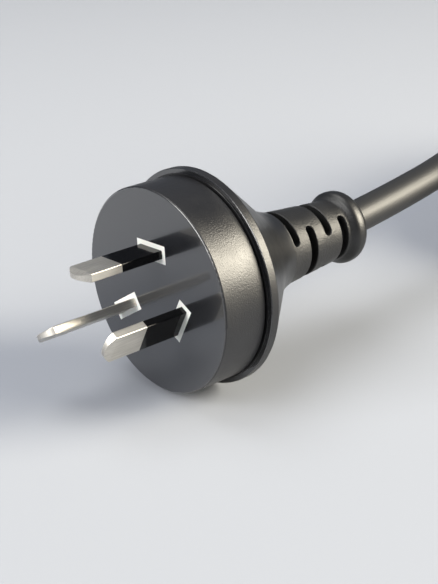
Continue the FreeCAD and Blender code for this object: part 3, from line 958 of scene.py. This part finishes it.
@dataclass
class HankStrap:
    """The woven strap round the waist of the hank, with its end lapped over its start and sewn down."""

    node: str = "hank_tie"
    thickness: float = 0.0009
    corner: float = 0.003
    corner_steps: int = 8
    edge_steps: int = 6
    lap: float = 0.018
    climb: float = 0.004
    climb_end: float = 0.0004
    climb_steps: int = 6
    lap_gap: float = 0.00004
    rows: int = 3
    rows_length: float = 0.0054
    row_share: float = 0.8
    stitches: int = 7
    stitch_size: tuple[float, float, float] = (0.0012, 0.0004, 0.00026)
    stitch_sides: int = 12
    stitch_rings: int = 8

    def section(self, width: float) -> list[tuple[float, float]]:
        """The strap's section: across it and out from its middle, with round edges.

        Args:
            width: the strap's width.

        Returns:
            The points, in order round the section.
        """
        half = self.thickness / 2
        points = []
        for sign in (1, -1):
            for k in range(self.edge_steps + 1):
                turn = sign * math.pi / 2 - math.pi * k / self.edge_steps
                points.append((sign * (width / 2 - half) + half * math.cos(turn), half * math.sin(turn)))
        return points

    def line(self, low: Vector, high: Vector) -> list[Vector]:
        """The strap's middle line, from its start on top, round the hank and over the start again.

        Args:
            low: the lowest corner of the strap's box.
            high: the highest corner.

        Returns:
            Places along the strap.
        """
        middle = (low + high) / 2
        top = high.z - self.thickness / 2
        start = middle.y + self.lap / 2
        lift = self.thickness + self.lap_gap
        places = [Vector((middle.x, start, top))]
        corners = ((low.y, high.z, 0.5), (low.y, low.z, 1.0), (high.y, low.z, 1.5), (high.y, high.z, 2.0))
        for y, z, quarter in corners:
            centre = Vector((middle.x, y - math.copysign(self.corner, y - middle.y),
                             z - math.copysign(self.corner, z - middle.z)))
            for k in range(self.corner_steps + 1):
                turn = math.pi * (quarter + 0.5 * k / self.corner_steps)
                out = Vector((0.0, math.cos(turn), math.sin(turn)))
                places.append(centre + out * (self.corner - self.thickness / 2))
        for k in range(self.climb_steps + 1):
            share = k / self.climb_steps
            ahead = self.climb_end + self.climb * (1 - share)
            places.append(Vector((middle.x, start + ahead, top + lift * eased(share))))
        places.append(Vector((middle.x, start - self.lap, top + lift)))
        return places

    def ribbon(self, places: Sequence[Vector], outline: Sequence[tuple[float, float]]) -> bpy.types.Mesh:
        """Sweeps the section along the strap, with a UV map of the metres along and across it.

        Args:
            places: the strap's middle line.
            outline: its section.

        Returns:
            The mesh.
        """
        made = bmesh.new()
        chart = made.loops.layers.uv.new("along_and_across")
        rings, runs = [], [0.0]
        for number, (place, way) in enumerate(zip(places, directions(places))):
            out = way.cross(AXIS)
            rings.append([made.verts.new(place + AXIS * across + out * up) for across, up in outline])
            if number:
                runs.append(runs[-1] + (place - places[number - 1]).length)
        for i, (ring, following) in enumerate(zip(rings, rings[1:])):
            for k in range(len(outline)):
                after = (k + 1) % len(outline)
                face = made.faces.new((ring[k], following[k], following[after], ring[after]))
                face.smooth = True
                corners = ((i, k), (i + 1, k), (i + 1, after), (i, after))
                for loop, (row, column) in zip(face.loops, corners):
                    loop[chart].uv = (runs[row], outline[column][0])
        made.faces.new(rings[0])
        made.faces.new(rings[-1])
        bmesh.ops.recalc_face_normals(made, faces=made.faces)
        mesh = bpy.data.meshes.new("hank_strap")
        made.to_mesh(mesh)
        made.free()
        return mesh

    def stitch_tree(self) -> bpy.types.NodeTree:
        """Builds the node tree that sets stitches in rows, flat round the origin.

        Returns:
            The tree, with named inputs for its sizes.
        """
        tree = bpy.data.node_groups.new("stitch_rows", "GeometryNodeTree")
        tree.interface.new_socket("Stitches", in_out="OUTPUT", socket_type="NodeSocketGeometry")
        for name in ("Across", "Along"):
            tree.interface.new_socket(name, in_out="INPUT", socket_type="NodeSocketFloat")
        tree.interface.new_socket("Stitch Size", in_out="INPUT", socket_type="NodeSocketVector")
        tree.interface.new_socket("Finish", in_out="INPUT", socket_type="NodeSocketMaterial")
        sizes = add_node(tree, "NodeGroupInput").outputs
        spots = add_node(tree, "GeometryNodeMeshGrid", {
            "Size X": sizes["Across"], "Size Y": sizes["Along"],
            "Vertices X": self.stitches, "Vertices Y": self.rows,
        }).outputs[0]
        # A ball one unit across, so that its scale is the stitch's size.
        stitch = add_node(tree, "GeometryNodeMeshUVSphere", {
            "Segments": self.stitch_sides, "Rings": self.stitch_rings, "Radius": 0.5,
        }).outputs[0]
        placed = add_node(tree, "GeometryNodeInstanceOnPoints", {
            "Points": spots, "Instance": stitch, "Scale": sizes["Stitch Size"],
        }).outputs[0]
        real = add_node(tree, "GeometryNodeRealizeInstances", {0: placed}).outputs[0]
        finished = add_node(tree, "GeometryNodeSetMaterial", {
            "Geometry": real, "Material": sizes["Finish"],
        }).outputs[0]
        add_node(tree, "NodeGroupOutput", {0: finished})
        return tree

    def build(self) -> list[bpy.types.Object]:
        """Builds the strap and the stitches near its end.

        Returns:
            Both pieces.
        """
        low, high = (Vector(corner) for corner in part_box(self.node))
        width = high.x - low.x
        places = self.line(low, high)
        strap = add_piece("hank_strap", self.ribbon(places, self.section(width)), WEBBING)
        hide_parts(self.node)
        values = {
            "Across": self.row_share * width, "Along": self.rows_length, "Stitch Size": self.stitch_size,
            "Finish": THREAD.material(),
        }
        # The rows lie on the lap, as far from its end as they are long.
        spot = places[-1] + Vector((0.0, self.rows_length, self.thickness / 2))
        mesh = grown("strap_stitches", self.stitch_tree(), values, Matrix.Translation(spot))
        return [strap, add_piece("strap_stitches", mesh, THREAD)]


@dataclass(frozen=True)
class Softbox:
    """A square studio lamp, placed by its direction from the plug.

    A grid before it keeps its light on the object and off the floor beside the lamp.
    """

    name: str
    direction: tuple[float, float, float]
    distance: float
    width: float
    watts: float
    colour: str
    spread: float = 75.0

    def build(self, target: Vector) -> None:
        """Hangs the lamp and turns it to the plug.

        Args:
            target: the point that it lights.
        """
        lamp = bpy.data.lights.new(self.name, "AREA")
        lamp.shape = "SQUARE"
        lamp.size = self.width
        lamp.energy = self.watts
        lamp.spread = math.radians(self.spread)
        lamp.color = linear(self.colour)[:3]
        holder = bpy.data.objects.new(self.name, lamp)
        way = Vector(self.direction).normalized()
        holder.location = target + way * self.distance
        holder.rotation_euler = way.to_track_quat("Z", "Y").to_euler()
        bpy.context.scene.collection.objects.link(holder)
        log.info("%s: %.1f W", self.name, self.watts)


@dataclass
class Studio:
    """The pale floor, the soft light and the camera."""

    floor_width: float = 3.0
    target: tuple[float, float, float] = (0.015, 0.0, 0.0)
    lamps: tuple[Softbox, ...] = (
        Softbox("right_softbox", (0.64, -0.62, 0.43), 1.44, 0.84, 10.4, "#FFF6E2"),
        Softbox("left_softbox", (-0.84, 0.15, 0.5), 1.68, 1.2, 7.9, "#FFFDFA"),
        Softbox("top_softbox", (-0.1, 0.32, 0.94), 1.68, 1.08, 2.45, "#FFFDF8"),
    )
    sky_low: str = "#636973"
    sky_high: str = "#9296A0"
    camera_place: tuple[float, float, float] = (-0.123033, -0.158260, 0.093616)
    swing: float = 41.26
    drop: float = 25.08
    focal_pixels: float = 1200.0
    frame_height: float = 584.0
    sensor_mm: float = 36.0
    nearest_seen: float = 0.01

    def build_floor(self) -> None:
        """Lays the floor under the lowest point of the object."""
        half = self.floor_width / 2
        corners = ((-half, -half), (half, -half), (half, half), (-half, half))
        mesh = bpy.data.meshes.new("studio_floor")
        mesh.from_pydata([(x, y, CAD_BOX[0][2]) for x, y in corners], [], [(0, 1, 2, 3)])
        mesh.materials.append(PAPER.material())
        floor = bpy.data.objects.new("studio_floor", mesh)
        bpy.context.scene.collection.objects.link(floor)

    def build_sky(self) -> None:
        """Surrounds the floor with soft light, brighter overhead."""
        world = bpy.data.worlds.new("studio_sky")
        world.use_nodes = True
        tree = world.node_tree
        tree.nodes.clear()
        way = add_node(tree, "ShaderNodeTexCoord").outputs["Generated"]
        height = add_node(tree, "ShaderNodeSeparateXYZ", {0: way}).outputs["Z"]
        colour = add_node(tree, "ShaderNodeMix", {
            0: height, 6: linear(self.sky_low), 7: linear(self.sky_high),
        }, data_type="RGBA").outputs[2]
        light = add_node(tree, "ShaderNodeBackground", {"Color": colour, "Strength": 1.0}).outputs[0]
        add_node(tree, "ShaderNodeOutputWorld", {"Surface": light})
        bpy.context.scene.world = world

    def build_camera(self) -> None:
        """Sets the camera at the photograph's place."""
        lens = bpy.data.cameras.new("camera")
        lens.sensor_fit = "VERTICAL"
        lens.sensor_height = self.sensor_mm
        lens.lens = self.focal_pixels / self.frame_height * self.sensor_mm
        lens.clip_start = self.nearest_seen
        camera = bpy.data.objects.new("camera", lens)
        camera.location = self.camera_place
        camera.rotation_euler = (math.radians(90 - self.drop), 0.0, math.radians(-self.swing))
        bpy.context.scene.collection.objects.link(camera)
        bpy.context.scene.camera = camera

    def build(self) -> None:
        """Builds the studio."""
        self.build_camera()
        self.build_floor()
        self.build_sky()
        for lamp in self.lamps:
            lamp.build(Vector(self.target))
        bpy.context.scene.view_settings.view_transform = "Standard"


def main() -> None:
    """Builds the object and its studio."""
    logging.basicConfig(level=logging.INFO, format="%(name)s: %(message)s")
    Studio().build()
    FlexCord().build()
    Plug().dress()


if __name__ == "__main__":
    main()
